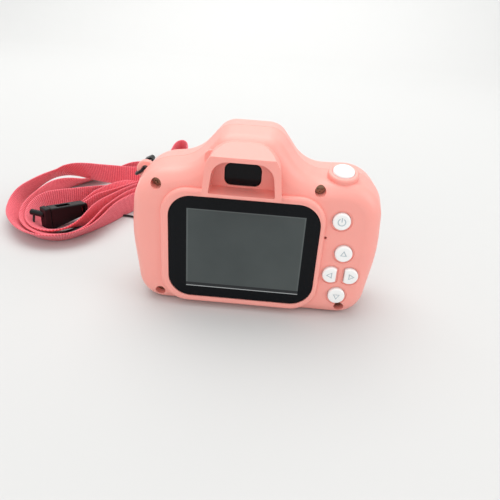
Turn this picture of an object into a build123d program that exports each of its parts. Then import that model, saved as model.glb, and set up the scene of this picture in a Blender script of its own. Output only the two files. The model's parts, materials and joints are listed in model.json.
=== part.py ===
from build123d import *
from math import cos, pi, radians, sin, tan
import os

# Kids digital camera: two-shell body, screen, buttons, lens group, electronics and neck strap.
#
# Frame: millimetres, +Z up, +Y forward (the way the lens points), -Y is the screen side, +X to the
# right when looking at the screen. Origin: bottom centre of the camera without its strap.

# ---------------------------------------------------------------- driving dimensions
# body, along Y
REAR = -17.5            # rear face round the buttons
PEDESTAL = -19.1        # raised rim round the screen
HOOD_RIM = -23.5        # rearmost point, the viewfinder hood
PARTING = -5.0          # joint between the two shells
FRONT = 7.5             # front face of the body
LENS_FRONT = 23.5       # foremost point, the lens trim ring
WALL = 1.8
TOP = 60.7              # top of the viewfinder hump
REAR_DRAFT = 7.0        # degrees
FRONT_DRAFT = 3.0
REAR_EDGE = 5.5         # edge rounding
FRONT_EDGE = 4.0
BASE_SINK = 0.8         # how far the draughted outline is cut off to make the flat base
GAP = 0.1               # moulded running clearance
GROOVE = 0.25           # chamfer along the parting line

# outline seen from behind: corner (x, z) and rounding, counter-clockwise from lower left
OUTLINE = [
    ((-38.6, -BASE_SINK), 10),
    ((38.6, -BASE_SINK), 10),
    ((41.8, 25.0), 60),
    ((40.0, 49.2), 13),
    ((15.0, 48.2), 12),
    ((5.6, TOP), 7.5),
    ((-12.0, TOP), 7.5),
    ((-21.2, 49.7), 13),
    ((-40.0, 47.2), 14),
    ((-41.6, 25.0), 60),
]

# screen
SCREEN_X, SCREEN_Z = -3.4, 22.75
WINDOW_W, WINDOW_H, WINDOW_R, WINDOW_T = 48.2, 36.3, 7.5, 1.2
PEDESTAL_SIZE = (52.6, 41.0, 9.0)
PEDESTAL_X = -3.9
LCD_X, LCD_Z = -2.8, 22.6
LCD_W, LCD_H, LCD_T = 41.5, 32.4, 1.9

# viewfinder
FINDER_X, FINDER_Z = -4.7, 48.0
FINDER_W, FINDER_H, FINDER_R = 11.3, 7.0, 2.2
HOOD_X, HOOD_W, HOOD_LEG_Z, HOOD_TOP = -4.4, 24.2, 43.0, 58.4
HOOD_WALL = 2.0
FINDER_FLOOR = -16.0

# rear buttons: centre x, z
BUTTON_D = 5.7
BUTTONS = {
    "power": (27.1, 36.0),
    "up": (29.3, 24.8),
    "left": (26.3, 16.7),
    "right": (32.4, 16.7),
    "down": (29.1, 8.9),
}
BUTTON_TRAVEL = 0.5
BUTTON_PROUD = 0.9
MIC_HOLE = (22.8, 29.8)

# shutter button on the right shoulder
SHUTTER_AT = (26.4, -10.4, 48.7)
SHUTTER_TILT = 17.0
SHUTTER_D = 7.0
SHUTTER_TRAVEL = 0.8

# case screws, seen from behind
CASE_SCREWS = [(19.4, 44.9), (-31.6, 43.2), (-30.8, 4.4), (30.6, 4.2)]
WELL_D = 3.5
HEAD_SEAT = -12.6

# lens
LENS_X, LENS_Z, LENS_D = -3.0, 22.5, 33.0

# flash window and speaker: centre x, z
FLASH = (-3.2, 50.2)
FLASH_W, FLASH_H = 13.0, 5.4
SPEAKER = (-28.5, 17.0)
SPEAKER_D = 13.0

# strap lug
LUG_X, LUG_Y, LUG_Z, LUG_D, LUG_HOLE, LUG_T = -38.0, -3.2, 42.9, 6.2, 3.1, 2.2
LUG_ROUND = 0.55

# boards and switches
BOARD_T = 1.0
MAIN_BOARD = (-2.75, 25.7, 48.5, 36.6)     # centre x, z, width, height
MAIN_BOARD_Y = -10.7                        # front face
BUTTON_BOARD = (29.8, 23.5, 12.8, 31.6)
BUTTON_BOARD_Y = -11.8
BUTTON_INNER = -15.0                        # inner face of the button flanges at rest
MAIN_POSTS = [(-22.0, 41.8), (12.0, 41.8)]
BUTTON_POSTS = [(34.0, 31.0)]

# port bay in the right-hand wall of the front shell
BAY_X = 39.4            # floor of the recess
BAY_Y = (-3.6, 1.6)
BAY_Z = (13.5, 36.0)
BAY_CLEAR = 0.15
PORT_BOARD_Y = -2.4
CARD_Z = (15.0, 26.6)
USB_Z = (27.6, 35.1)

# port cover hinge: a knuckle with two pins, turning in two ears of the front shell
HINGE_X, HINGE_Y = 40.8, 2.7
HINGE_Z = (18.5, 31.5)      # ends of the knuckle
KNUCKLE_R = 0.9
PIN_R, PIN_L = 0.45, 1.2
PIN_CLEAR = 0.05
EAR_L = 1.6

# neck strap: its ribbon lies in a loose coil left of and behind the camera, standing on its edge
COIL = [((-111.5, 99), 16), ((-112, 40), 20), ((-90, 9), 13), ((-70, 22), 14), ((-54, 84), 60),
        ((-40, 138), 8), ((-54, 146), 8), ((-76, 112), 30)]
COIL_BAND = 6.0          # spread of the turns
RIBBON_W = 10.5
BUCKLE_AT = (-89.6, 29.4, 5.5)      # mouth of the female half
BUCKLE_HEADING = 54.8               # degrees from +X
BUCKLE_L, BUCKLE_MOUTH, BUCKLE_TIP, BUCKLE_T = 18.0, 9.8, 5.2, 4.4
COLLAR_H, COLLAR_L = 10.7, 2.7
STUB_END = (-97.2, 29.8, 7.6)
CORD_D = 1.0
# strap cord: from its crimp, round the lug, down behind the body, over the floor to the buckle
CORD_ROUTE = [
    (-41.0, 9.6, 41.3), (-41.5, 2.0, 40.9), (-41.5, -5.2, 41.0), (-38.8, -5.2, 43.0), (-38.8, 2.4, 42.9),
    (-39.5, 9.6, 42.1), (-37.8, 13.4, 37.4), (-36.2, 14.0, 28.8), (-36.4, 13.6, 17.4), (-38.0, 15.6, 6.4),
    (-41.6, 21.6, 0.7), (-46.0, 33.0, 0.6), (-51.6, 43.6, 0.7), (-59.6, 49.8, 0.6), (-69.4, 47.6, 0.7),
    (-76.2, 40.0, 0.6), (-79.6, 30.6, 0.7), (-84.4, 23.8, 0.6), (-90.0, 21.4, 0.7), (-94.2, 23.4, 0.8),
    (-96.0, 27.2, 2.4), (-96.2, 29.6, 6.6),
]
CORD_RADII = {2: 1.4, 3: 1.4}       # the two turns round the lug

nodes = {}


# ---------------------------------------------------------------- helpers
def profile(corners):
    """Closed face in the XY plane from (corner, radius) pairs."""
    points = [corner for corner, _ in corners]
    radii = [radius for _, radius in corners]
    return make_face(FilletPolyline(*points, radius=radii, close=True))


def prism(sketch, y_rear, y_front, taper=0):
    """Extrude a sketch drawn in (x, z) from y_front back to y_rear."""
    plane = Plane(origin=(0, y_front, 0), x_dir=(1, 0, 0), z_dir=(0, -1, 0))
    return extrude(plane * sketch, amount=y_front - y_rear, taper=taper)


def plate(x, z, w, h, r, y_rear, y_front):
    """Rounded rectangular plate parallel to XZ."""
    return prism(Pos(x, z) * RectangleRounded(w, h, r), y_rear, y_front)


def rod(x, z, d, y_rear, y_front):
    """Round bar along Y."""
    return prism(Pos(x, z) * Circle(d / 2), y_rear, y_front)


def block(x0, x1, y0, y1, z0, z1):
    """Box from its limits."""
    return Pos((x0 + x1) / 2, (y0 + y1) / 2, (z0 + z1) / 2) * Box(x1 - x0, y1 - y0, z1 - z0)


def casing(inset, rear, front, rear_edge, front_edge):
    """The body's rounded volume, or its cavity when inset."""
    sketch = profile(OUTLINE)
    if inset:
        sketch = offset(sketch, amount=-inset)
    back = prism(sketch, rear, PARTING, taper=REAR_DRAFT)
    back = fillet(back.faces().sort_by(Axis.Y)[0].edges(), rear_edge)
    fore = prism(sketch, PARTING - (front - PARTING), PARTING, taper=FRONT_DRAFT)
    fore = fillet(fore.faces().sort_by(Axis.Y)[0].edges(), front_edge)
    fore = mirror(fore, about=Plane(origin=(0, PARTING, 0), z_dir=(0, 1, 0)))
    whole = back + fore
    return whole - block(-60, 60, -60, 60, -5, inset)


def button_shape(name, grow):
    """Plan of a rear button: round, or the left and right D shapes."""
    x, z = BUTTONS[name]
    shape = Pos(x, z) * Circle(BUTTON_D / 2 + grow)
    if name in ("left", "right"):
        side = 1 if name == "left" else -1
        flat = 1.75 + grow
        cutter = Pos(x + side * (flat + 10), z) * Rectangle(20, 20)
        shape = shape - cutter
    return shape


# ---------------------------------------------------------------- shells
def shutter_frame():
    """Local frame of the shutter button, its Z along the press axis."""
    return Pos(*SHUTTER_AT) * Rot(SHUTTER_TILT, 0, 0)


def hood():
    """Inverted-U eyecup that stands out from the hump round the viewfinder window."""
    half = HOOD_W / 2
    outer = profile([
        ((HOOD_X - half, HOOD_LEG_Z), 0.6), ((HOOD_X + half, HOOD_LEG_Z), 0.6),
        ((HOOD_X + half - 1.6, HOOD_TOP), 8.0), ((HOOD_X - half + 1.6, HOOD_TOP), 8.0)])
    shape = prism(outer, HOOD_RIM, REAR + 3)
    side = Polyline((HOOD_RIM, HOOD_LEG_Z - 1), (HOOD_RIM, 55.4), (REAR, HOOD_TOP), (REAR + 3, HOOD_TOP),
                    (REAR + 3, HOOD_LEG_Z - 1), close=True)
    yz = Plane(origin=(-30, 0, 0), x_dir=(0, 1, 0), z_dir=(1, 0, 0))
    return shape & extrude(yz * make_face(side), amount=60)


def hood_recess():
    half = HOOD_W / 2 - HOOD_WALL
    inner = profile([
        ((HOOD_X - half, HOOD_LEG_Z + 0.9), 0.5), ((HOOD_X + half, HOOD_LEG_Z + 0.9), 0.5),
        ((HOOD_X + half - 1.3, 54.0), 5.0), ((HOOD_X - half + 1.3, 54.0), 5.0)])
    return prism(inner, HOOD_RIM - 1, FINDER_FLOOR)


def rear_shell(outer, cavity):
    shell = (outer - cavity) & block(-60, 60, -60, PARTING, -1, 80)
    shell = chamfer(shell.faces().sort_by(Axis.Y)[-1].outer_wire().edges(), GROOVE)
    rim = plate(PEDESTAL_X, SCREEN_Z, *PEDESTAL_SIZE, PEDESTAL, REAR + 1.5)
    rim = fillet(rim.faces().sort_by(Axis.Y)[0].edges(), 1.2)
    shell += rim & block(-60, 60, -60, 60, 0.6, 80)
    shell += hood()
    shell += plate(FINDER_X, FINDER_Z + 0.6, 24, 12.6, 2, -15.9, -14.2)
    shell -= hood_recess()
    shell -= plate(FINDER_X, FINDER_Z, FINDER_W + 0.2, FINDER_H + 0.2, FINDER_R, -18, -13)
    shell -= plate(SCREEN_X, SCREEN_Z, WINDOW_W + 0.2, WINDOW_H + 0.2, WINDOW_R, -20, PEDESTAL + 1.4)
    shell -= plate(LCD_X, LCD_Z, LCD_W + 0.6, LCD_H + 0.6, 1, -20, -14)
    for x, z in MAIN_POSTS:
        shell += rod(x, z, 4.4, REAR + WALL / 2, MAIN_BOARD_Y - BOARD_T)
        shell -= rod(x, z, 1.5, -15.2, -8)
    for x, z in BUTTON_POSTS:
        shell += rod(x, z, 4.0, REAR + WALL / 2, BUTTON_BOARD_Y - BOARD_T)
        shell -= rod(x, z, 1.5, -15.2, -8)
    for x, z in CASE_SCREWS:
        shell += rod(x, z, 6.2, REAR, PARTING) & outer
        shell -= rod(x, z, WELL_D, -30, HEAD_SEAT)
        shell -= rod(x, z, 2.2, -30, PARTING + 1)
    for name in BUTTONS:
        shell -= prism(button_shape(name, GAP), -20, -14)
        shell -= prism(button_shape(name, 0.75), -20, REAR + 0.35)
        shell -= prism(button_shape(name, 1.0), REAR + WALL, -13.9)
    shell -= rod(*MIC_HOLE, 1.0, -20, -14)
    here = shutter_frame()
    ring = here * Pos(0, 0, -1.2) * Cylinder(4.9, 5.0)
    ring = fillet(ring.edges().filter_by(GeomType.CIRCLE).sort_by(Axis.Z)[-1], 0.7)
    shell += (ring - cavity) & block(-60, 60, -60, PARTING, 0, 80)
    shell -= here * Pos(0, 0, -3) * Cylinder(SHUTTER_D / 2 + GAP, 20)
    shell -= here * Pos(0, 0, -4.9) * Cylinder(5.0, 4.0)
    return shell


def front_shell(outer, cavity):
    shell = (outer - cavity) & block(-60, 60, PARTING, 60, -1, 80)
    shell = chamfer(shell.faces().sort_by(Axis.Y)[0].outer_wire().edges(), GROOVE)
    for x, z in CASE_SCREWS:
        shell += rod(x, z, 6.2, PARTING, FRONT - 1) & outer
        shell -= rod(x, z, 1.9, PARTING - 1, 4.0)
    # strap lug
    ring = rod(LUG_X, LUG_Z, LUG_D, LUG_Y - LUG_T / 2, LUG_Y + LUG_T / 2)
    shell += fillet(ring.edges().filter_by(GeomType.CIRCLE), LUG_ROUND) - cavity
    shell -= rod(LUG_X, LUG_Z, LUG_HOLE, LUG_Y - LUG_T / 2, LUG_Y + LUG_T / 2)
    # openings for the lens, its screws, the flash window and the speaker
    shell -= rod(LENS_X, LENS_Z, 12, 0, 20)
    for x, z in lens_screw_places():
        shell -= rod(x, z, 2.2, 0, 20)
    shell -= plate(*FLASH, FLASH_W + 0.2, FLASH_H + 0.2, 2.4, 0, 20)
    for x, z in speaker_holes():
        shell -= rod(x, z, 1.2, 0, 20)
    # port bay: a thick pad inside the wall, a recess outside, two mouths
    gap = BAY_CLEAR
    board = PORT_BOARD_Y - gap
    shell += block(36.6, 40.4, PARTING, HINGE_Y + 2.0, BAY_Z[0] - 1.5, BAY_Z[1] + 1.5) & outer
    shell -= block(BAY_X, 60, BAY_Y[0] - gap, BAY_Y[1] + gap, BAY_Z[0] - gap, BAY_Z[1] + gap)
    shell -= block(30, 60, board, PORT_BOARD_Y + 1.7 + gap, CARD_Z[0] - gap, CARD_Z[1] + gap)
    shell -= block(30, 60, board, PORT_BOARD_Y + 2.7 + gap, USB_Z[0] - gap, USB_Z[1] + gap)
    return hinge_ears(shell)


def upright(radius, z0, z1):
    """Round bar on the cover's hinge axis."""
    return Pos(HINGE_X, HINGE_Y, (z0 + z1) / 2) * Cylinder(radius, z1 - z0)


def hinge_ears(shell):
    """Pocket for the cover's knuckle, and an ear with a pin bore at each end of it."""
    low, high = HINGE_Z
    shell -= block(BAY_X, 60, BAY_Y[1], HINGE_Y, low - GAP, high + GAP)
    shell -= upright(KNUCKLE_R + BAY_CLEAR, low - GAP, high + GAP)
    for z0, z1 in ((low - GAP - EAR_L, low - GAP), (high + GAP, high + GAP + EAR_L)):
        shell += upright(KNUCKLE_R, z0, z1)
        shell += block(38.6, HINGE_X, HINGE_Y - KNUCKLE_R, HINGE_Y + KNUCKLE_R, z0, z1)
    return shell - upright(PIN_R + PIN_CLEAR, low - PIN_L - 0.2, high + PIN_L + 0.2)


# ---------------------------------------------------------------- screen and viewfinder
def screen_window():
    glass = plate(SCREEN_X, SCREEN_Z, WINDOW_W, WINDOW_H, WINDOW_R - 0.1, PEDESTAL + 0.2, PEDESTAL + 1.4)
    return fillet(glass.faces().sort_by(Axis.Y)[0].edges(), 0.3)


def lcd_panel():
    return plate(LCD_X, LCD_Z, LCD_W, LCD_H, 0.8, -17.6, -15.0)


def lcd_frame():
    frame = plate(LCD_X, LCD_Z, LCD_W + 3.0, LCD_H + 1.0, 1.0, -15.4, -13.2)
    return frame - plate(LCD_X, LCD_Z, LCD_W + 0.2, LCD_H + 0.2, 0.9, -16, -15.0)


def finder_window():
    pane = plate(FINDER_X, FINDER_Z, FINDER_W, FINDER_H, FINDER_R - 0.1, -15.9, -14.1)
    pane = fillet(pane.faces().sort_by(Axis.Y)[0].edges(), 0.25)
    return pane + plate(FINDER_X, FINDER_Z, FINDER_W + 1.8, FINDER_H + 1.6, FINDER_R, -14.2, -13.4)


def selfie_camera():
    body = plate(FINDER_X, FINDER_Z, 8.0, 8.0, 0.8, -12.4, -9.6)
    return body + rod(FINDER_X, FINDER_Z, 6.0, -13.4, -12.4)


# ---------------------------------------------------------------- buttons, boards and switches
def icon(name):
    """Engraved sign on a button: a power ring with a bar, or a triangle pointing the button's way."""
    x, z = BUTTONS[name]
    if name == "power":
        ring = Circle(1.35) - Circle(1.0) - Pos(0, 1.3) * Rectangle(1.1, 1.4)
        return Pos(x, z) * (ring + Pos(0, 0.75) * Rectangle(0.35, 1.5))
    turn = {"up": 0, "left": 90, "right": -90, "down": 180}[name]
    shift = {"left": -0.35, "right": 0.35}.get(name, 0)
    big = RegularPolygon(1.35, 3, rotation=90)
    small = RegularPolygon(0.75, 3, rotation=90)
    return Pos(x + shift, z) * Rot(0, 0, turn) * (big - small)


def rear_button(name):
    cap = prism(button_shape(name, 0), REAR - BUTTON_PROUD, BUTTON_INNER)
    cap = fillet(cap.faces().sort_by(Axis.Y)[0].edges(), 0.55)
    flange = prism(button_shape(name, 0.8), REAR + WALL + GAP, BUTTON_INNER)
    flange &= block(0, 60, -30, 0, 7.7, 60)
    face = REAR - BUTTON_PROUD
    return cap + flange - prism(icon(name), face - 1, face + 0.18)


def shutter_button():
    here = shutter_frame()
    cap = here * Pos(0, 0, -0.7) * Cylinder(SHUTTER_D / 2, 5.6)
    cap = fillet(cap.edges().filter_by(GeomType.CIRCLE).sort_by(Axis.Z)[-1], 0.9)
    return cap + here * Pos(0, 0, -3.4) * Cylinder(4.7, 0.8) + here * Pos(0, 0, -4.3) * Cylinder(1.5, 1.6)


def shutter_board():
    here = shutter_frame()
    return here * Pos(0, 0, -7.9) * Box(7.5, 7.0, BOARD_T)


def shutter_switch():
    here = shutter_frame()
    return here * Pos(0, 0, -6.95) * Box(4, 4, 0.9) + here * Pos(0, 0, -6.2) * Cylinder(1.0, 0.6)


def main_board():
    x, z, w, h = MAIN_BOARD
    board = plate(x, z, w, h, 1.0, MAIN_BOARD_Y - BOARD_T, MAIN_BOARD_Y)
    rear = MAIN_BOARD_Y - BOARD_T
    board += plate(-14.0, 27.0, 9.0, 9.0, 0.2, rear - 0.9, rear)
    board += plate(1.0, 30.0, 7.0, 5.0, 0.2, rear - 0.8, rear)
    board += plate(10.0, 16.0, 6.0, 5.0, 0.2, rear - 0.8, rear)
    board -= rod(*CASE_SCREWS[0], 7.0, -20, 0)
    for post in MAIN_POSTS:
        board -= rod(*post, 1.7, -20, 0)
    return board


def button_board():
    x, z, w, h = BUTTON_BOARD
    board = plate(x, z, w, h, 0.8, BUTTON_BOARD_Y - BOARD_T, BUTTON_BOARD_Y)
    for post in BUTTON_POSTS:
        board -= rod(*post, 1.7, -20, 0)
    return board


def button_switches():
    """One tact switch behind each rear button."""
    rear = BUTTON_BOARD_Y - BOARD_T
    switches = []
    for x, z in BUTTONS.values():
        body = plate(x, z, 3.0, 3.0, 0.3, rear - 0.9, rear)
        switches.append(body + rod(x, z, 1.8, rear - 1.6, rear - 0.9))
    return Compound(switches)


def microphone():
    return rod(*MIC_HOLE, 4.0, REAR + WALL + GAP, -14.2)


# ---------------------------------------------------------------- screws
def screw(x, z, head_d, head_t, shank_d, seat, end, toward=1):
    """Screw along Y with a cross recess; toward is +1 when it points forward."""
    if toward > 0:
        head = rod(x, z, head_d, seat - head_t, seat)
        shank = rod(x, z, shank_d, seat, end)
        slot_y = (seat - head_t - 1, seat - head_t + 0.6)
    else:
        head = rod(x, z, head_d, seat, seat + head_t)
        shank = rod(x, z, shank_d, end, seat)
        slot_y = (seat + head_t - 0.6, seat + head_t + 1)
    cross = Pos(x, z) * (Rectangle(0.6 * head_d, 0.45) + Rectangle(0.45, 0.6 * head_d))
    return head + shank - prism(cross, *slot_y)


def case_screws():
    return Compound([screw(x, z, 3.2, 1.5, 1.8, HEAD_SEAT, 3.0) for x, z in CASE_SCREWS])


def board_screws():
    main = [screw(x, z, 3.0, 1.0, 1.4, MAIN_BOARD_Y, -14.8, -1) for x, z in MAIN_POSTS]
    side = [screw(x, z, 3.0, 1.0, 1.4, BUTTON_BOARD_Y, -14.8, -1) for x, z in BUTTON_POSTS]
    return Compound(main + side)


def lens_screw_places():
    reach = LENS_D / 2 - 2.4
    return [(LENS_X + reach * cos(radians(a)), LENS_Z + reach * sin(radians(a))) for a in (90, 210, 330)]


def lens_screws():
    inside = FRONT - WALL
    return Compound([screw(x, z, 3.0, 1.1, 1.8, inside, inside + 8.5) for x, z in lens_screw_places()])


# ---------------------------------------------------------------- lens group
def lens_barrel():
    barrel = rod(LENS_X, LENS_Z, LENS_D, FRONT, LENS_FRONT - 1.9)
    barrel -= rod(LENS_X, LENS_Z, LENS_D - 9, FRONT + 1.9, 30)
    barrel -= rod(LENS_X, LENS_Z, LENS_D - 5.8, LENS_FRONT - 6.3, 30)
    barrel -= rod(LENS_X, LENS_Z, 6.0, 0, 20)
    for x, z in lens_screw_places():
        barrel -= rod(x, z, 1.9, 0, FRONT + 7.5)
    # grip grooves round the barrel
    for y in (FRONT + 3.0, FRONT + 5.0, FRONT + 7.0):
        groove = rod(LENS_X, LENS_Z, LENS_D + 2, y, y + 0.9) - rod(LENS_X, LENS_Z, LENS_D - 0.9, y, y + 0.9)
        barrel -= groove
    return barrel


def lens_trim_ring():
    ring = rod(LENS_X, LENS_Z, LENS_D, LENS_FRONT - 1.9, LENS_FRONT)
    ring = fillet(ring.faces().sort_by(Axis.Y)[-1].edges(), 0.8)
    return ring - rod(LENS_X, LENS_Z, LENS_D - 8.0, 0, 30)


def lens_plate():
    disc = rod(LENS_X, LENS_Z, LENS_D - 6.0, LENS_FRONT - 6.3, LENS_FRONT - 5.1)
    return disc - rod(LENS_X, LENS_Z, 7.4, 0, 30)


def lens_spacer():
    ring = rod(LENS_X, LENS_Z, LENS_D - 6.0, LENS_FRONT - 5.1, LENS_FRONT - 3.4)
    return ring - rod(LENS_X, LENS_Z, LENS_D - 8.6, 0, 30)


def lens_glass():
    return rod(LENS_X, LENS_Z, LENS_D - 6.0, LENS_FRONT - 3.4, LENS_FRONT - 1.9)


def camera_module():
    base = FRONT + 1.9
    module = plate(LENS_X, LENS_Z, 9.0, 9.0, 0.8, base, base + 4.0)
    module += rod(LENS_X, LENS_Z, 7.2, base + 4.0, LENS_FRONT - 5.6)
    return module - rod(LENS_X, LENS_Z, 4.6, LENS_FRONT - 6.4, 30)


def module_lens():
    dome = rod(LENS_X, LENS_Z, 4.5, LENS_FRONT - 6.4, LENS_FRONT - 5.7)
    return fillet(dome.faces().sort_by(Axis.Y)[-1].edges(), 0.4)


# ---------------------------------------------------------------- flash, battery, speaker, ports
def flash_window():
    pane = plate(*FLASH, FLASH_W, FLASH_H, 2.3, FRONT - WALL - 0.1, FRONT + 0.4)
    pane = fillet(pane.faces().sort_by(Axis.Y)[-1].edges(), 0.3)
    return pane + plate(*FLASH, FLASH_W + 2, FLASH_H + 2, 2.5, FRONT - WALL - 1.1, FRONT - WALL)


def flash_led():
    board = plate(*FLASH, 10.0, 5.0, 0.5, 2.0, 2.9)
    return board + plate(*FLASH, 3.5, 3.0, 0.3, 2.9, 4.4)


def speaker_holes():
    ring = [(SPEAKER[0] + 2.8 * cos(radians(60 * k)), SPEAKER[1] + 2.8 * sin(radians(60 * k))) for k in range(6)]
    return ring + [SPEAKER]


def speaker():
    inside = FRONT - WALL
    can = rod(*SPEAKER, SPEAKER_D, inside - 2.4, inside - 0.6)
    rim = rod(*SPEAKER, SPEAKER_D, inside - 0.6, inside) - rod(*SPEAKER, SPEAKER_D - 2, inside - 0.6, inside)
    return can + rim + rod(*SPEAKER, SPEAKER_D - 5, inside - 3.6, inside - 2.4)


def battery():
    cell = plate(-6.5, 22.0, 35.0, 28.0, 2.0, -9.6, -4.0)
    return fillet(cell.edges().filter_by(Axis.X), 1.0)


def battery_pad():
    return plate(-6.5, 22.0, 26.0, 18.0, 1.0, MAIN_BOARD_Y, -9.6)


def port_board():
    return block(24.0, 36.5, PORT_BOARD_Y - BOARD_T, PORT_BOARD_Y, 12.0, 37.0)


def usb_socket():
    body = block(33.0, BAY_X - 0.2, PORT_BOARD_Y, PORT_BOARD_Y + 2.7, *USB_Z)
    mouth = block(34.5, BAY_X, PORT_BOARD_Y + 0.35, PORT_BOARD_Y + 2.35, USB_Z[0] + 0.35, USB_Z[1] - 0.35)
    tongue = block(34.5, BAY_X - 1.0, PORT_BOARD_Y + 1.5, PORT_BOARD_Y + 2.1, USB_Z[0] + 1.6, USB_Z[1] - 1.6)
    return body - mouth + tongue


def card_socket():
    body = block(25.5, BAY_X - 0.2, PORT_BOARD_Y, PORT_BOARD_Y + 1.7, *CARD_Z)
    return body - block(26.5, BAY_X, PORT_BOARD_Y + 0.4, PORT_BOARD_Y + 1.3, CARD_Z[0] + 0.3, CARD_Z[1] - 0.3)


def port_cover(outer):
    """Flap flush with the wall; its knuckle turns in the ears, its far end is cut on the swing's arc."""
    low, high = HINGE_Z
    flap = outer & block(BAY_X + 0.1, 60, *BAY_Y, *BAY_Z)
    flap += outer & block(BAY_X + 0.1, 60, BAY_Y[1] - 0.1, HINGE_Y, low, high)
    flap &= upright(HINGE_Y - BAY_Y[0], 0, 60)
    flap -= Pos(42.6, BAY_Y[0], (BAY_Z[0] + BAY_Z[1]) / 2) * Sphere(2.0)
    flap += upright(KNUCKLE_R, low, high)
    return flap + upright(PIN_R, low - PIN_L, high + PIN_L)


# ---------------------------------------------------------------- neck strap
def buckle_frame():
    """Local X along the buckle from mouth to ribbon, local Y up, local Z its thickness."""
    a = radians(BUCKLE_HEADING)
    return Plane(origin=BUCKLE_AT, x_dir=(cos(a), sin(a), 0), z_dir=(sin(a), -cos(a), 0))


def bar(x0, x1, y0, y1, t):
    """Box in the buckle's frame, centred on its thickness."""
    return buckle_frame() * Pos((x0 + x1) / 2, (y0 + y1) / 2, 0) * Box(x1 - x0, y1 - y0, t)


def buckle_female():
    """Trapezoid housing: open mouth, windows over the two prongs, slot for the ribbon in its tip."""
    mouth, tip = BUCKLE_MOUTH / 2, BUCKLE_TIP / 2
    side = profile([((0, -mouth), 0.7), ((BUCKLE_L, -tip), 1.3), ((BUCKLE_L, tip), 1.3), ((0, mouth), 0.7)])
    body = extrude(buckle_frame().offset(-BUCKLE_T / 2) * side, amount=BUCKLE_T)
    body = fillet(body.faces().sort_by(Axis(BUCKLE_AT, buckle_frame().z_dir))[-1].edges(), 0.5)
    body -= bar(-1, 12.2, -3.1, 3.1, 2.3)
    for y in (2.6, -7.6):
        body -= bar(3.6, 10.0, y, y + 5.0, 2.5)
    return body - bar(14.8, 16.4, -1.7, 1.7, 10)


def buckle_male():
    """Collar across the mouth, a centre tongue, two prongs and the stub that holds the cord."""
    collar = bar(-COLLAR_L, -GAP, -COLLAR_H / 2, COLLAR_H / 2, 4.8)
    collar = fillet(collar.edges(), 0.6)
    male = collar + bar(-1, 11.0, -0.7, 0.7, 1.9)
    for y in (1.8, -2.9):
        male += bar(-1, 10.0, y, y + 1.1, 1.9)
    start = Vector(*BUCKLE_AT) - buckle_frame().x_dir * (COLLAR_L - 0.8)
    start = Vector(start.X, start.Y, STUB_END[2])
    reach = Vector(*STUB_END) - start
    stub = extrude(Plane(origin=start, z_dir=reach) * Circle(1.3), amount=reach.length)
    return male + stub


def lanyard_ribbon():
    """Outer shape of the ribbon's coil, bridged over the cord, with its end sewn into the buckle."""
    middle = profile(COIL)
    ring = offset(middle, amount=COIL_BAND / 2) - offset(middle, amount=-COIL_BAND / 2)
    coil = extrude(ring, amount=RIBBON_W)
    coil -= Pos(-66, 47, 0) * Box(16, 12, 2 * (CORD_D + 1.0))
    end = bar(BUCKLE_L, BUCKLE_L + 38, -BUCKLE_TIP / 2, BUCKLE_TIP / 2, 1.0)
    return coil + end


def lanyard_cord():
    """Round cord along straight runs joined by tangent arcs."""
    points = [Vector(*point) for point in CORD_ROUTE]
    radii = []
    for i in range(1, len(points) - 1):
        before, after = points[i] - points[i - 1], points[i + 1] - points[i]
        half_turn = radians(before.get_angle(after)) / 2
        radius = 0.45 * min(before.length, after.length) / tan(half_turn)
        radii.append(min(radius, CORD_RADII.get(i, 1e3)))
    line = FilletPolyline(*points, radius=radii)
    start = Plane(origin=line @ 0, z_dir=line % 0)
    cord = sweep(start * Circle(CORD_D / 2), path=line)
    print("cord length", round(line.length, 1), "volume ratio",
          round(cord.volume / (pi * CORD_D ** 2 / 4 * line.length), 4),
          "radii", [round(radius, 1) for radius in radii])
    return cord


def cord_crimp():
    """Sleeve that closes the cord's end onto itself in front of the body, behind the lug."""
    sleeve = Pos(-40.25, 9.9, 41.7) * Rot(0, -28, 0) * Box(3.6, 3.4, 2.0)
    return fillet(sleeve.edges().filter_by(Axis.Y), 0.9)


def build():
    outer = casing(0, REAR, FRONT, REAR_EDGE, FRONT_EDGE)
    cavity = casing(WALL, REAR + WALL, FRONT - WALL, REAR_EDGE - WALL, FRONT_EDGE - WALL)
    nodes["rear_shell"] = rear_shell(outer, cavity)
    nodes["front_shell"] = front_shell(outer, cavity)
    nodes["port_cover"] = port_cover(outer)
    for name in BUTTONS:
        nodes[f"{name}_button"] = rear_button(name)
    for maker in (screen_window, lcd_panel, lcd_frame, finder_window, selfie_camera, shutter_button,
                  shutter_board, shutter_switch, main_board, button_board, button_switches, microphone,
                  case_screws, board_screws, lens_screws, lens_barrel, lens_trim_ring, lens_plate,
                  lens_spacer, lens_glass, camera_module, module_lens, flash_window, flash_led, battery,
                  battery_pad, speaker, port_board, usb_socket, card_socket, buckle_female, buckle_male,
                  lanyard_ribbon, lanyard_cord, cord_crimp):
        nodes[maker.__name__] = maker()


build()
os.makedirs("parts", exist_ok=True)
for node, shape in nodes.items():
    export_step(shape, f"parts/{node}.step")
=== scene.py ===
import json
import math

import bpy
import numpy as np
from mathutils import Matrix, Vector


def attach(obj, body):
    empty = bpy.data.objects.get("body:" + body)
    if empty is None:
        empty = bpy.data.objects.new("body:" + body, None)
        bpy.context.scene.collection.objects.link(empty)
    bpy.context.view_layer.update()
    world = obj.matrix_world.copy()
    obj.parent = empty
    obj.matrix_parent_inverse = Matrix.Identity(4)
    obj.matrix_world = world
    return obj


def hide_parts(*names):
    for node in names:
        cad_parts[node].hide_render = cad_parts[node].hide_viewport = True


# Looks for the kids digital camera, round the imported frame: materials, neck ribbon, strap cord, light, view.

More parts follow.
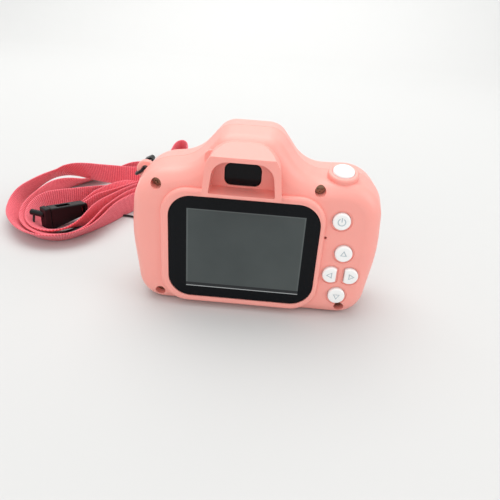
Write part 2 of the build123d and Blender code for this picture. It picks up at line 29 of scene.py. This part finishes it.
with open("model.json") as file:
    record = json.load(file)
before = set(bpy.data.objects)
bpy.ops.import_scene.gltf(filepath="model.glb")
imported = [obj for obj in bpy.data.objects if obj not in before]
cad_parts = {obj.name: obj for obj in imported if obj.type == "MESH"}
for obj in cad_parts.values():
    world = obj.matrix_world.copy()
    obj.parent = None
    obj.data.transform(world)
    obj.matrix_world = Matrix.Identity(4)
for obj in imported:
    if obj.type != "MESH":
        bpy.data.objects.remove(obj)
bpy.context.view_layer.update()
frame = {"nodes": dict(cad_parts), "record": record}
MM = 0.001
NODES = frame["nodes"]

# ---------------------------------------------------------------- driving values
# view: place in mm, direction, upward direction, lens and sensor in mm
EYE = (4.31, -164.10, 100.07)
LOOK = (-0.0314, 0.8850, -0.4645)
HEAD_UP = (-0.0871, 0.4605, 0.8834)
LENS, SENSOR = 36.55, 36.0
WORLD_STRENGTH = 0.78

# glass area of the screen: centre, half sizes, and the margins of the grey picture inside it
GLASS_X, GLASS_Z = -2.8 * MM, 22.6 * MM
GLASS_HALF_W, GLASS_HALF_H = 18.85 * MM, 14.15 * MM
MARGIN_LEFT, MARGIN_RIGHT, MARGIN_LOW, MARGIN_HIGH = 0.5 * MM, 0.4 * MM, 1.5 * MM, 0.3 * MM
FOOT_LINE = 0.32 * MM
# depths between which a rear button's engraved sign lies
SIGN_Y = (-18.34 * MM, -17.9 * MM)
SPARK_GRAIN = 5500          # scale of the moulded surface's fine grain

# neck ribbon
RIBBON_WIDE = 10.0 * MM
RIBBON_THICK = 0.62 * MM
RIB_PITCH = 0.95 * MM
RIB_HEIGHT = 0.13 * MM
YARN_PITCH = 0.42 * MM
STEPS_PER_RIB = 5
GATHER_HALF, GATHER_LONG = 1.6 * MM, 9 * MM         # half width in the buckle's slot, length of the gathering
SCALLOP = 0.018                                     # share of the half width
LEAN_WAVES = [(math.radians(3.5), 47 * MM), (math.radians(2.5), 29 * MM)]       # height, length
CUP_WAVES = [(0.10 * MM, 37 * MM), (0.18 * MM, 83 * MM)]
FLOOR_GAP = 0.05 * MM

# strap cord
CORD_THICK = 1.0 * MM
PLAIT_PITCH = 1.6 * MM
CORD_SIDES = 14


# ---------------------------------------------------------------- camera, light and stage
def make_camera():
    """Above and behind the camera's screen side, a little right of its middle and slightly rolled."""
    eye = Vector(EYE) * MM
    forward = Vector(LOOK).normalized()
    up = Vector(HEAD_UP)
    right = forward.cross(up).normalized()
    up = right.cross(forward)
    data = bpy.data.cameras.new("view_camera")
    data.sensor_width = SENSOR
    data.lens = LENS
    data.clip_start = 0.01
    camera = bpy.data.objects.new("view_camera", data)
    bpy.context.scene.collection.objects.link(camera)
    turn = Matrix((right, up, -forward)).transposed().to_4x4()
    camera.matrix_world = Matrix.Translation(eye) @ turn
    bpy.context.scene.camera = camera


def area_light(name, place, target, size, power, colour=(1.0, 1.0, 1.0)):
    """Square softbox of a size in metres and a power in watts, aimed from its place at a target."""
    data = bpy.data.lights.new(name, "AREA")
    data.shape = "SQUARE"
    data.size = size
    data.energy = power
    data.color = colour
    lamp = bpy.data.objects.new(name, data)
    bpy.context.scene.collection.objects.link(lamp)
    aim = (Vector(target) - Vector(place)).to_track_quat("-Z", "Y").to_matrix().to_4x4()
    lamp.matrix_world = Matrix.Translation(place) @ aim
    return data


def make_light():
    area_light("softbox_top", (-0.15, 0.30, 0.85), (-0.02, 0.02, 0.02), size=0.95, power=6.8,
               colour=(1.0, 0.995, 0.985))
    area_light("softbox_right", (0.75, -0.15, 0.40), (0.02, 0, 0.03), size=0.50, power=1.6)
    area_light("softbox_front", (-0.20, -0.75, 0.60), (0, 0, 0.03), size=0.80, power=2.1)
    wall = area_light("softbox_back", (0.0, 0.45, 1.30), (0, 1.25, 0.30), size=1.0, power=3.4)
    wall.spread = math.radians(100)
    world = bpy.data.worlds.new("studio")
    world.use_nodes = True
    background = world.node_tree.nodes["Background"]
    background.inputs["Color"].default_value = (0.98, 0.99, 1.0, 1)
    background.inputs["Strength"].default_value = WORLD_STRENGTH
    bpy.context.scene.world = world
    bpy.context.scene.view_settings.view_transform = "Standard"


def make_stage():
    """Floor that curves up into a back wall."""
    half_width, near, top = 3.0, -2.5, 2.4
    bend_start, bend, bend_steps = 0.60, 0.60, 12
    profile = [(near, 0.0), (bend_start, 0.0)]
    for k in range(1, bend_steps + 1):
        a = math.radians(90 * k / bend_steps)
        profile.append((bend_start + bend * math.sin(a), bend * (1 - math.cos(a))))
    profile.append((bend_start + bend, top))
    verts = [(x, y, z) for y, z in profile for x in (-half_width, half_width)]
    faces = [(2 * i, 2 * i + 1, 2 * i + 3, 2 * i + 2) for i in range(len(profile) - 1)]
    mesh = bpy.data.meshes.new("studio_floor")
    mesh.from_pydata(verts, [], faces)
    mesh.polygons.foreach_set("use_smooth", [True] * len(faces))
    floor = bpy.data.objects.new("studio_floor", mesh)
    bpy.context.scene.collection.objects.link(floor)
    mat = Paint("studio_paper")
    mat.set(base=(0.60, 0.60, 0.592), rough=0.9, specular=0.1)
    mesh.materials.append(mat.mat)


# ---------------------------------------------------------------- materials
class Paint:
    """One Principled material with short calls for its procedural detail."""

    def __init__(self, name):
        self.mat = bpy.data.materials.new(name)
        self.mat.use_nodes = True
        self.tree = self.mat.node_tree
        self.nodes = self.tree.nodes
        self.bsdf = self.nodes["Principled BSDF"]
        self.where = self.nodes.new("ShaderNodeTexCoord")

    def set(self, base=None, rough=None, metal=None, specular=None, coat=None, coat_rough=None,
            sheen=None, sheen_rough=None, sheen_tint=None, subsurface=None, radius=None, scale=None,
            ior=None, transmission=None):
        values = {
            "Roughness": rough, "Metallic": metal, "Specular IOR Level": specular, "Coat Weight": coat,
            "Coat Roughness": coat_rough, "Sheen Weight": sheen, "Sheen Roughness": sheen_rough,
            "Subsurface Weight": subsurface, "Subsurface Scale": scale, "IOR": ior,
            "Transmission Weight": transmission}
        for socket, value in values.items():
            if value is not None:
                self.bsdf.inputs[socket].default_value = value
        if base is not None:
            self.bsdf.inputs["Base Color"].default_value = (*base, 1)
        if radius is not None:
            self.bsdf.inputs["Subsurface Radius"].default_value = radius
        if sheen_tint is not None:
            self.bsdf.inputs["Sheen Tint"].default_value = (*sheen_tint, 1)
        return self

    def link(self, a, b):
        self.tree.links.new(a, b)

    def node(self, kind, **inputs):
        made = self.nodes.new(kind)
        for key, value in inputs.items():
            made.inputs[key].default_value = value
        return made

    def math(self, operation, a, b=None, clamp=False):
        made = self.nodes.new("ShaderNodeMath")
        made.operation = operation
        made.use_clamp = clamp
        for slot, value in enumerate((a, b)):
            if value is None:
                continue
            if isinstance(value, (int, float)):
                made.inputs[slot].default_value = value
            else:
                self.link(value, made.inputs[slot])
        return made.outputs[0]

    def noise(self, scale, detail=2.0, rough=0.5):
        made = self.node("ShaderNodeTexNoise", Scale=scale, Detail=detail, Roughness=rough)
        self.link(self.where.outputs["Object"], made.inputs["Vector"])
        return made.outputs["Fac"]

    def ramp(self, fac, stops):
        made = self.nodes.new("ShaderNodeValToRGB")
        ramp = made.color_ramp
        while len(ramp.elements) < len(stops):
            ramp.elements.new(0.5)
        for element, (place, colour) in zip(ramp.elements, stops):
            element.position = place
            element.color = (*colour, 1)
        self.link(fac, made.inputs["Fac"])
        return made.outputs["Color"]

    def mix(self, fac, a, b):
        made = self.nodes.new("ShaderNodeMix")
        made.data_type = "RGBA"
        sockets = [s for s in made.inputs if s.type == "RGBA"]
        for socket, value in zip(sockets, (a, b)):
            if isinstance(value, tuple):
                socket.default_value = (*value, 1)
            else:
                self.link(value, socket)
        if isinstance(fac, (int, float)):
            made.inputs["Factor"].default_value = fac
        else:
            self.link(fac, made.inputs["Factor"])
        return next(s for s in made.outputs if s.type == "RGBA")

    def base(self, colour):
        self.link(colour, self.bsdf.inputs["Base Color"])
        return self

    def rough_between(self, fac, low, high):
        made = self.nodes.new("ShaderNodeMapRange")
        made.inputs["To Min"].default_value = low
        made.inputs["To Max"].default_value = high
        self.link(fac, made.inputs["Value"])
        self.link(made.outputs["Result"], self.bsdf.inputs["Roughness"])
        return self

    def bump(self, height, depth, strength=1.0):
        made = self.node("ShaderNodeBump", Strength=strength, Distance=depth)
        self.link(height, made.inputs["Height"])
        self.link(made.outputs["Normal"], self.bsdf.inputs["Normal"])
        return self

    def axis(self, letter):
        made = self.nodes.new("ShaderNodeSeparateXYZ")
        self.link(self.where.outputs["Object"], made.inputs[0])
        return made.outputs[letter]

    def between(self, value, low, high, soft=0.00005):
        """1 inside low..high, falling to 0 over a short edge."""
        up = self.math("DIVIDE", self.math("SUBTRACT", value, low), soft, clamp=True)
        down = self.math("DIVIDE", self.math("SUBTRACT", high, value), soft, clamp=True)
        return self.math("MULTIPLY", up, down)


def shades(colour, spread):
    """Darker and lighter neighbours of a colour."""
    return tuple(max(0, c * (1 - spread)) for c in colour), tuple(min(1, c * (1 + spread)) for c in colour)


def moulded(name, colour, rough, spread=0.03, depth=0.00001, gloss=0.45, **more):
    """Injection-moulded plastic: faint flow clouds in the colour, fine spark-eroded grain, smudged gloss."""
    paint = Paint(name).set(specular=gloss, **more)
    low, high = shades(colour, spread)
    paint.base(paint.ramp(paint.noise(60, 3), [(0.3, low), (0.7, high)]))
    paint.rough_between(paint.noise(140, 4), rough - 0.05, rough + 0.07)
    paint.bump(paint.noise(SPARK_GRAIN, 2, 0.6), depth, 0.35)
    return paint


def metal(name, colour, rough, brushed=True):
    """Bare or plated metal with a faintly mottled tone, and fine scratches when brushed."""
    paint = Paint(name).set(metal=1.0)
    low, high = shades(colour, 0.12)
    paint.base(paint.ramp(paint.noise(900, 4), [(0.3, low), (0.7, high)]))
    paint.rough_between(paint.noise(2500, 3), rough * 0.7, rough * 1.3)
    if brushed:
        paint.bump(paint.noise(9000, 2), 0.000008, 0.4)
    return paint


def screen_paint():
    """Black-printed window with the switched-off screen showing grey in its middle."""
    left, right = GLASS_X - GLASS_HALF_W, GLASS_X + GLASS_HALF_W
    low, high = GLASS_Z - GLASS_HALF_H, GLASS_Z + GLASS_HALF_H
    picture_low = low + MARGIN_LOW
    paint = Paint("screen_window").set(specular=0.14, ior=1.45)
    x, z = paint.axis("X"), paint.axis("Z")
    inside = paint.math("MULTIPLY", paint.between(x, left, right), paint.between(z, low, high))
    picture = paint.math("MULTIPLY", paint.between(x, left + MARGIN_LEFT, right - MARGIN_RIGHT),
                         paint.between(z, picture_low, high - MARGIN_HIGH))
    foot = paint.math("MULTIPLY", inside, paint.between(z, low, low + FOOT_LINE))
    dark = paint.math("MULTIPLY", inside, paint.between(z, low, picture_low))
    grey = paint.ramp(paint.noise(35, 3), [(0.3, (0.060, 0.070, 0.070)), (0.7, (0.080, 0.092, 0.091))])
    colour = paint.mix(inside, (0.0035, 0.0042, 0.0055), (0.10, 0.113, 0.112))
    colour = paint.mix(dark, colour, (0.03, 0.032, 0.034))
    colour = paint.mix(picture, colour, grey)
    colour = paint.mix(foot, colour, (0.42, 0.44, 0.44))
    paint.base(colour)
    paint.rough_between(paint.noise(90, 4), 0.06, 0.12)
    return paint.mat


def button_paint():
    """White gloss plastic whose engraved sign is filled grey-blue."""
    paint = moulded("button_white", (0.90, 0.90, 0.885), 0.22, spread=0.015, depth=0.000004, coat=0.3,
                    coat_rough=0.1, subsurface=0.12, radius=(0.4, 0.4, 0.4), scale=0.002)
    y = paint.axis("Y")
    facing = paint.nodes.new("ShaderNodeSeparateXYZ")
    paint.link(paint.where.outputs["Normal"], facing.inputs[0])
    flat = paint.math("LESS_THAN", facing.outputs["Y"], -0.9)
    deep = paint.between(y, *SIGN_Y)
    cloud = paint.ramp(paint.noise(60, 3), [(0.3, (0.89, 0.89, 0.875)), (0.7, (0.915, 0.915, 0.9))])
    paint.base(paint.mix(paint.math("MULTIPLY", flat, deep), cloud, (0.50, 0.58, 0.62)))
    return paint.mat


def board_paint():
    """Green solder mask with a brick pattern of tracks."""
    paint = Paint("board_green").set(specular=0.5)
    tracks = paint.node("ShaderNodeTexBrick", Scale=260.0)
    tracks.inputs["Color1"].default_value = (0.012, 0.12, 0.045, 1)
    tracks.inputs["Color2"].default_value = (0.014, 0.15, 0.06, 1)
    tracks.inputs["Mortar"].default_value = (0.02, 0.24, 0.1, 1)
    paint.link(paint.where.outputs["Object"], tracks.inputs["Vector"])
    paint.base(tracks.outputs["Color"])
    paint.rough_between(paint.noise(400, 3), 0.25, 0.4)
    return paint.mat


def clear(name, tint, rough=0.02):
    """Clear glass with faint smudges."""
    paint = Paint(name).set(base=tint, rough=rough, ior=1.49, transmission=1.0)
    paint.rough_between(paint.noise(150, 3), rough, rough + 0.03)
    return paint.mat


def ribbon_paint():
    """Woven grosgrain: yarns, a soft nap, and a stripe of painted shade on each rib that the mesh carries,
    darker in the grooves.
    """
    paint = Paint("ribbon_pink").set(rough=0.62, specular=0.25, sheen=0.40, sheen_rough=0.45,
                                     sheen_tint=(1.0, 0.75, 0.78), subsurface=0.12,
                                     radius=(1.0, 0.25, 0.25), scale=0.0012)
    coords = paint.nodes.new("ShaderNodeUVMap")
    parts = paint.nodes.new("ShaderNodeSeparateXYZ")
    paint.link(coords.outputs["UV"], parts.inputs[0])
    along, across = parts.outputs["X"], parts.outputs["Y"]
    yarn = paint.math("SINE", paint.math("MULTIPLY", across, 2 * math.pi / YARN_PITCH))
    rib = paint.math("COSINE", paint.math("MULTIPLY", along, 2 * math.pi / RIB_PITCH))
    weave = paint.math("ADD", paint.math("MULTIPLY", yarn, 0.35), paint.math("MULTIPLY", rib, 1.3))
    fibre = paint.noise(2600, 3, 0.7)
    # painted shade: the low colour darkens the grooves between ribs and yarns and the high colour lightens the
    # rib tops; the fibre noise adds random tone
    low, high = (0.58, 0.040, 0.068), (0.96, 0.215, 0.255)
    tone = paint.math("ADD", paint.math("MULTIPLY", weave, 0.16), fibre)
    paint.base(paint.ramp(tone, [(0.22, low), (0.78, high)]))
    height = paint.math("ADD", paint.math("MULTIPLY", weave, 0.5), fibre)
    paint.bump(height, 0.00006, 0.55)
    return paint.mat


def cord_paint():
    """Black braid: two sets of plaits crossing round the cord."""
    paint = Paint("cord_black").set(specular=0.3, sheen=0.2, sheen_rough=0.5)
    coords = paint.nodes.new("ShaderNodeUVMap")
    parts = paint.nodes.new("ShaderNodeSeparateXYZ")
    paint.link(coords.outputs["UV"], parts.inputs[0])
    along = paint.math("MULTIPLY", parts.outputs["X"], 2 * math.pi / PLAIT_PITCH)
    around = paint.math("MULTIPLY", parts.outputs["Y"], 2 * math.pi * 4)
    plait = paint.math("MULTIPLY", paint.math("SINE", paint.math("ADD", along, around)),
                       paint.math("SINE", paint.math("SUBTRACT", along, around)))
    paint.base(paint.ramp(plait, [(0.1, (0.006, 0.006, 0.007)), (0.8, (0.028, 0.028, 0.03))]))
    paint.rough_between(paint.noise(3000, 2), 0.5, 0.7)
    paint.bump(plait, 0.00008, 0.7)
    return paint.mat


def make_paints():
    """One material for each slot of the record, and one for the screen window."""
    pink = (0.93, 0.365, 0.312)
    skin = dict(subsurface=0.10, radius=(1.0, 0.35, 0.3), scale=0.003, coat=0.10, coat_rough=0.3)
    return {
        "shell_pink": moulded("shell_pink", pink, 0.40, spread=0.012, depth=0.000012, **skin).mat,
        "rubber_pink": moulded("rubber_pink", (0.90, 0.37, 0.32), 0.62, depth=0.00002).mat,
        "window_black": moulded("window_black", (0.004, 0.0045, 0.006), 0.12, spread=0.1, depth=0.000001,
                                gloss=0.14).mat,
        "screen_window": screen_paint(),
        "lcd_grey": moulded("lcd_grey", (0.06, 0.063, 0.066), 0.2, depth=0.000002).mat,
        "white_plastic": moulded("white_plastic", (0.82, 0.82, 0.80), 0.45).mat,
        "module_black": moulded("module_black", (0.012, 0.012, 0.013), 0.4, spread=0.2).mat,
        "clear_glass": clear("clear_glass", (0.94, 0.97, 0.97)),
        "barrel_white": moulded("barrel_white", (0.87, 0.87, 0.855), 0.28, spread=0.01, depth=0.000005,
                                coat=0.25, coat_rough=0.15).mat,
        "trim_silver": metal("trim_silver", (0.82, 0.82, 0.83), 0.16, brushed=False).mat,
        "black_plastic": moulded("black_plastic", (0.013, 0.013, 0.014), 0.38, spread=0.2).mat,
        "flash_frost": moulded("flash_frost", (0.86, 0.87, 0.86), 0.3, depth=0.00003, subsurface=0.4,
                               radius=(1, 1, 1), scale=0.003).mat,
        "led_yellow": moulded("led_yellow", (0.85, 0.62, 0.10), 0.35).mat,
        "board_green": board_paint(),
        "switch_metal": metal("switch_metal", (0.62, 0.62, 0.62), 0.3).mat,
        "screw_steel": metal("screw_steel", (0.30, 0.19, 0.13), 0.32).mat,
        "battery_foil": metal("battery_foil", (0.72, 0.72, 0.74), 0.35).mat,
        "foam_black": moulded("foam_black", (0.03, 0.03, 0.03), 0.85, depth=0.0001).mat,
        "socket_steel": metal("socket_steel", (0.68, 0.68, 0.68), 0.22).mat,
        "buckle_black": moulded("buckle_black", (0.0035, 0.0035, 0.004), 0.36, spread=0.2, depth=0.00002,
                                gloss=0.22, coat=0.12, coat_rough=0.22).mat,
        "button_white": button_paint(),
        "ribbon_pink": ribbon_paint(),
        "cord_black": cord_paint(),
    }


# ---------------------------------------------------------------- curves
def spline_points(name, route, step):
    """Points read from a NURBS spline whose control points are the route, evenly spaced by arc length."""
    data = bpy.data.curves.new(name, "CURVE")
    data.dimensions = "3D"
    data.resolution_u = 24
    spline = data.splines.new("NURBS")
    spline.points.add(len(route) - 1)
    for point, (x, y, z) in zip(spline.points, route):
        point.co = (x * MM, y * MM, z * MM, 1.0)
    spline.order_u = 3
    spline.use_endpoint_u = True
    carrier = bpy.data.objects.new(name, data)
    bpy.context.scene.collection.objects.link(carrier)
    bpy.context.view_layer.update()
    mesh = bpy.data.meshes.new_from_object(carrier)
    raw = np.array([v.co for v in mesh.vertices])
    bpy.data.objects.remove(carrier)
    bpy.data.meshes.remove(mesh)
    bpy.data.curves.remove(data)
    lengths = np.r_[0, np.cumsum(np.linalg.norm(np.diff(raw, axis=0), axis=1))]
    count = max(8, int(round(lengths[-1] / step)) + 1)
    at = np.linspace(0, lengths[-1], count)
    points = np.stack([np.interp(at, lengths, raw[:, k]) for k in range(3)], 1)
    return points, at


def smooth(values, width):
    """Moving average that keeps the ends."""
    kernel = np.hanning(2 * width + 3)
    kernel /= kernel.sum()
    pad = len(kernel) // 2
    padded = np.pad(values, [(pad, pad)] + [(0, 0)] * (values.ndim - 1), mode="edge")
    if values.ndim == 1:
        return np.convolve(padded, kernel, "valid")
    return np.stack([np.convolve(padded[:, k], kernel, "valid") for k in range(values.shape[1])], 1)


def along_route(points, at, route, values):
    """Spreads one value per route point over the sampled line."""
    line = np.array(points)
    marks, last = [], 0
    for corner in np.array(route) * MM:
        reach = min(len(line), last + len(line) // 6 + 2)
        last = last + int(np.argmin(np.linalg.norm(line[last:reach] - corner, axis=1)))
        marks.append(at[last])
    marks[0], marks[-1] = at[0], at[-1]
    return np.interp(at, marks, values)


def waves(at, terms):
    """Sum of sine waves along the line, from (height, wavelength) pairs."""
    return sum(height * np.sin(2 * np.pi * at / length) for height, length in terms)


def tube_mesh(name, rings):
    """Skin over rings of points, closed at both ends."""
    count, sides = len(rings), len(rings[0])
    verts = np.array(rings).reshape(-1, 3)
    faces = []
    for i in range(count - 1):
        for k in range(sides):
            n = (k + 1) % sides
            faces.append((i * sides + k, i * sides + n, (i + 1) * sides + n, (i + 1) * sides + k))
    faces.append(tuple(range(sides - 1, -1, -1)))
    faces.append(tuple((count - 1) * sides + k for k in range(sides)))
    mesh = bpy.data.meshes.new(name)
    mesh.from_pydata(verts.tolist(), [], faces)
    mesh.update()
    return mesh


def put_uv(mesh, sides, at, across):
    """UVs of a tube: distance along it, and the value in across for each side; 0..1 values close at 1."""
    layer = mesh.uv_layers.new(name="UVMap")
    uv = np.zeros((len(mesh.loops), 2))
    vertex = np.zeros(len(mesh.loops), int)
    mesh.loops.foreach_get("vertex_index", vertex)
    uv[:, 0] = np.array(at)[vertex // sides]
    uv[:, 1] = np.array(across)[vertex % sides]
    quads = (len(at) - 1) * sides
    wrap = np.arange(quads * 4).reshape(-1, 4)
    last = wrap[sides - 1::sides]
    if across[0] == 0 and across[-1] < 1:
        uv[last[:, 1], 1] = 1.0
        uv[last[:, 2], 1] = 1.0
    layer.data.foreach_set("uv", uv.ravel())


def place(mesh, name, paint):
    """Smooth-shaded object of a mesh, in its paint."""
    thing = bpy.data.objects.new(name, mesh)
    bpy.context.scene.collection.objects.link(thing)
    mesh.materials.append(paint)
    mesh.polygons.foreach_set("use_smooth", [True] * len(mesh.polygons))
    return thing


# ---------------------------------------------------------------- neck strap
# the ribbon's line: place in mm, and lean from upright in degrees
# (a positive lean takes the top edge to the right of the run)
RIBBON = [
    # from the buckle to the pile behind the camera
    ((-80.6, 42.4, 5.4), 0), ((-77.4, 47.0, 5.4), 0), ((-74.2, 54.2, 5.4), 16), ((-70.4, 61.6, 5.2), 28),
    ((-65.8, 68.0, 5.2), 24), ((-60.4, 72.4, 5.4), 10), ((-54.8, 76.0, 5.8), 0), ((-51.6, 80.0, 6.6), 0),
    ((-52.6, 84.0, 7.8), 0), ((-56.4, 84.6, 8.8), 0), ((-61.0, 80.4, 9.2), 4),
    # outer turn
    ((-66.8, 77.6, 9.2), 8), ((-75.4, 78.4, 9.3), 4), ((-83.4, 79.4, 9.2), -4), ((-91.2, 81.6, 8.9), -20),
    ((-99.4, 83.8, 8.2), -38), ((-106.2, 83.0, 7.0), -48), ((-110.4, 77.2, 5.7), -40),
    ((-112.8, 68.0, 4.9), -24), ((-113.2, 58.0, 4.9), -8), ((-112.0, 50.6, 4.9), 8),
    ((-109.8, 43.0, 4.1), 34), ((-106.4, 33.4, 3.2), 52), ((-101.6, 25.6, 3.1), 54),
    ((-96.0, 19.8, 3.2), 53), ((-90.0, 16.2, 3.3), 51), ((-83.8, 15.4, 3.2), 52),
    ((-77.6, 17.6, 3.3), 50), ((-72.4, 22.8, 3.8), 44), ((-68.6, 31.6, 4.4), 30),
    ((-65.4, 42.0, 4.9), 18), ((-61.8, 52.0, 5.1), 8),
    # behind the camera to the far end, and back as the inner turn
    ((-56.2, 62.0, 5.2), 0), ((-50.4, 72.8, 5.2), 0), ((-46.6, 86.4, 5.2), 0), ((-44.4, 101.0, 5.2), 0),
    ((-44.6, 116.0, 5.2), 0), ((-47.6, 130.6, 5.6), 0), ((-50.4, 142.2, 5.8), 0),
    ((-54.0, 146.0, 6.0), 0), ((-57.0, 140.0, 5.6), 0), ((-56.4, 126.0, 5.2), 0),
    ((-55.8, 112.0, 5.2), 0), ((-58.8, 104.0, 5.2), -8), ((-65.6, 103.4, 5.0), -24),
    ((-74.2, 103.6, 4.6), -34), ((-82.0, 98.4, 3.8), -44), ((-89.6, 88.8, 2.6), -62),
    ((-95.6, 80.2, 2.8), -56), ((-99.4, 71.2, 4.2), -32), ((-101.4, 62.6, 5.0), -10),
    ((-102.4, 54.4, 5.1), 2), ((-102.6, 46.6, 4.8), 14), ((-101.8, 39.0, 4.2), 34),
    ((-99.8, 32.2, 3.4), 50), ((-96.2, 26.4, 3.0), 60), ((-91.2, 22.0, 2.8), 66),
    ((-85.6, 19.8, 2.6), 69), ((-80.2, 20.4, 2.7), 68), ((-75.6, 23.6, 3.1), 60),
    ((-72.2, 30.0, 3.9), 44), ((-69.6, 38.2, 4.7), 22), ((-67.0, 46.8, 5.1), 8),
    # a turn behind the camera, then past the front of the buckle and round behind it
    ((-63.8, 54.8, 5.2), 0), ((-59.8, 61.2, 5.2), 0), ((-56.2, 66.0, 5.2), 0), ((-57.8, 69.2, 5.2), 0),
    ((-61.8, 66.8, 5.2), 0), ((-65.6, 60.0, 5.2), -8), ((-69.2, 51.6, 5.2), -7), ((-72.4, 42.4, 5.1), -7),
    ((-75.4, 34.6, 4.7), -24), ((-78.6, 28.6, 3.8), -46), ((-82.8, 24.6, 3.0), -62),
    ((-87.8, 23.2, 2.7), -66), ((-93.0, 25.6, 2.7), -64), ((-96.9, 30.6, 3.0), -58),
    ((-98.9, 37.0, 3.9), -38), ((-99.2, 43.8, 4.8), -14), ((-96.6, 48.8, 5.1), 0),
    ((-91.2, 52.6, 5.1), 4), ((-84.8, 57.2, 5.0), 12), ((-79.0, 63.6, 4.7), 26), ((-73.6, 71.0, 4.0), 42),
    ((-68.0, 77.6, 2.9), 58), ((-62.4, 83.4, 1.8), 74), ((-57.2, 85.0, 1.4), 80),
    ((-55.2, 81.8, 1.6), 76), ((-59.2, 78.6, 2.4), 64), ((-64.2, 75.0, 3.8), 42),
    ((-69.0, 69.4, 4.9), 20), ((-73.4, 61.6, 5.2), 8), ((-76.8, 53.6, 5.3), 2), ((-79.4, 48.0, 5.4), 0),
    ((-81.8, 44.4, 5.4), 0),
]


def ribbon_frames(points, lean):
    """Width and thickness directions at each point of a ribbon that stands on its edge, leaning by an angle."""
    tangent = smooth(np.gradient(points, axis=0), 6)
    tangent /= np.linalg.norm(tangent, axis=1)[:, None]
    up = np.array([0, 0, 1.0])
    side = np.cross(tangent, up)
    side /= np.linalg.norm(side, axis=1)[:, None]
    lift = np.cross(side, tangent)
    wide = np.cos(lean)[:, None] * lift + np.sin(lean)[:, None] * side
    thick = np.cross(wide, tangent)
    return wide, thick


def make_ribbon(paint):
    """Grosgrain ribbon: ribs across it, thin selvedges, gathered where it enters the buckle."""
    route = [corner for corner, _ in RIBBON]
    leans = [math.radians(lean) for _, lean in RIBBON]
    points, at = spline_points("ribbon_line", route, RIB_PITCH / STEPS_PER_RIB)
    lean = smooth(along_route(points, at, route, leans), 40)
    lean += waves(at, LEAN_WAVES)
    wide, thick = ribbon_frames(points, lean)
    end = np.minimum(at, at[-1] - at)
    gather = np.clip(end / GATHER_LONG, 0, 1) ** 0.7
    half = GATHER_HALF + (RIBBON_WIDE / 2 - GATHER_HALF) * gather
    ripple = 0.5 + 0.5 * np.cos(2 * np.pi * at / RIB_PITCH)
    body = RIBBON_THICK / 2 + RIB_HEIGHT * ripple
    # cross-section: fractions of the half width, and of the half thickness
    section = [(-1.0, 0.55), (-0.93, 0.75), (-0.86, 1.0), (-0.45, 1.0), (0.0, 1.0), (0.45, 1.0),
               (0.86, 1.0), (0.93, 0.75), (1.0, 0.55)]
    loop = section + [(w, -t) for w, t in reversed(section)]
    cup = waves(at, CUP_WAVES)
    rings = []
    for w, t in loop:
        scallop = 1.0 + (SCALLOP * (ripple - 0.5) if abs(w) > 0.9 else 0.0)
        bow = cup * (1 - w * w) * gather
        rings.append(points + wide * (w * half * scallop)[:, None] + thick * (t * body + bow)[:, None])
    rings = np.stack(rings, 1)
    rings[:, :, 2] = np.maximum(rings[:, :, 2], FLOOR_GAP)
    mesh = tube_mesh("neck_ribbon", rings)
    widths = [w * RIBBON_WIDE / 2 for w, _ in loop]
    put_uv(mesh, len(loop), at, widths)
    ribbon = place(mesh, "neck_ribbon", paint)
    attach(ribbon, "root")
    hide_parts("lanyard_ribbon")


CORD_ROUTE = [
    (-41.0, 9.6, 41.3), (-41.5, 2.0, 40.9), (-41.5, -5.2, 41.0), (-38.8, -5.2, 43.0), (-38.8, 2.4, 42.9),
    (-39.5, 9.6, 42.1), (-37.8, 13.4, 37.4), (-36.2, 14.0, 28.8), (-36.4, 13.6, 17.4), (-38.0, 15.6, 6.4),
    (-41.6, 21.6, 0.7), (-46.0, 33.0, 0.6), (-51.6, 43.6, 0.7), (-59.6, 49.8, 0.6), (-69.4, 47.6, 0.7),
    (-76.2, 40.0, 0.6), (-79.6, 30.6, 0.7), (-84.4, 23.8, 0.6), (-90.0, 21.4, 0.7), (-94.2, 23.4, 0.8),
    (-96.0, 27.2, 2.4), (-96.2, 29.6, 6.6),
]


def make_cord(paint):
    """Thin braided strap cord from its crimp, round the lug and along the floor to the buckle."""
    points, at = spline_points("cord_line", CORD_ROUTE, 0.35 * MM)
    tangent = np.gradient(points, axis=0)
    tangent /= np.linalg.norm(tangent, axis=1)[:, None]
    normal = np.cross(tangent[0], (0, 0, 1.0))
    normal /= np.linalg.norm(normal)
    rings = []
    for i, centre in enumerate(points):
        normal = normal - tangent[i] * np.dot(normal, tangent[i])
        normal /= np.linalg.norm(normal)
        other = np.cross(tangent[i], normal)
        ring = []
        for k in range(CORD_SIDES):
            a = 2 * math.pi * k / CORD_SIDES
            phase = at[i] * 2 * math.pi / PLAIT_PITCH
            plait = math.sin(phase + 4 * a) * math.sin(phase - 4 * a)
            r = CORD_THICK / 2 * (0.95 + 0.05 * plait)
            ring.append(centre + r * (math.cos(a) * normal + math.sin(a) * other))
        rings.append(ring)
    mesh = tube_mesh("strap_cord", rings)
    put_uv(mesh, CORD_SIDES, at, [k / CORD_SIDES for k in range(CORD_SIDES)])
    cord = place(mesh, "strap_cord", paint)
    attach(cord, "root")
    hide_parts("lanyard_cord")


# ---------------------------------------------------------------- carried-over parts
def dress_nodes(paints):
    """Gives every CAD node the finish of its slot."""
    slot_of = {part["node"]: part["material_slot"] for part in frame["record"]["subparts"]}
    for name, node in NODES.items():
        key = "screen_window" if name == "screen_window" else slot_of[name]
        node.data.materials.clear()
        node.data.materials.append(paints[key])


make_camera()
paints = make_paints()
make_cord(paints["cord_black"])
make_ribbon(paints["ribbon_pink"])
dress_nodes(paints)
make_light()
make_stage()
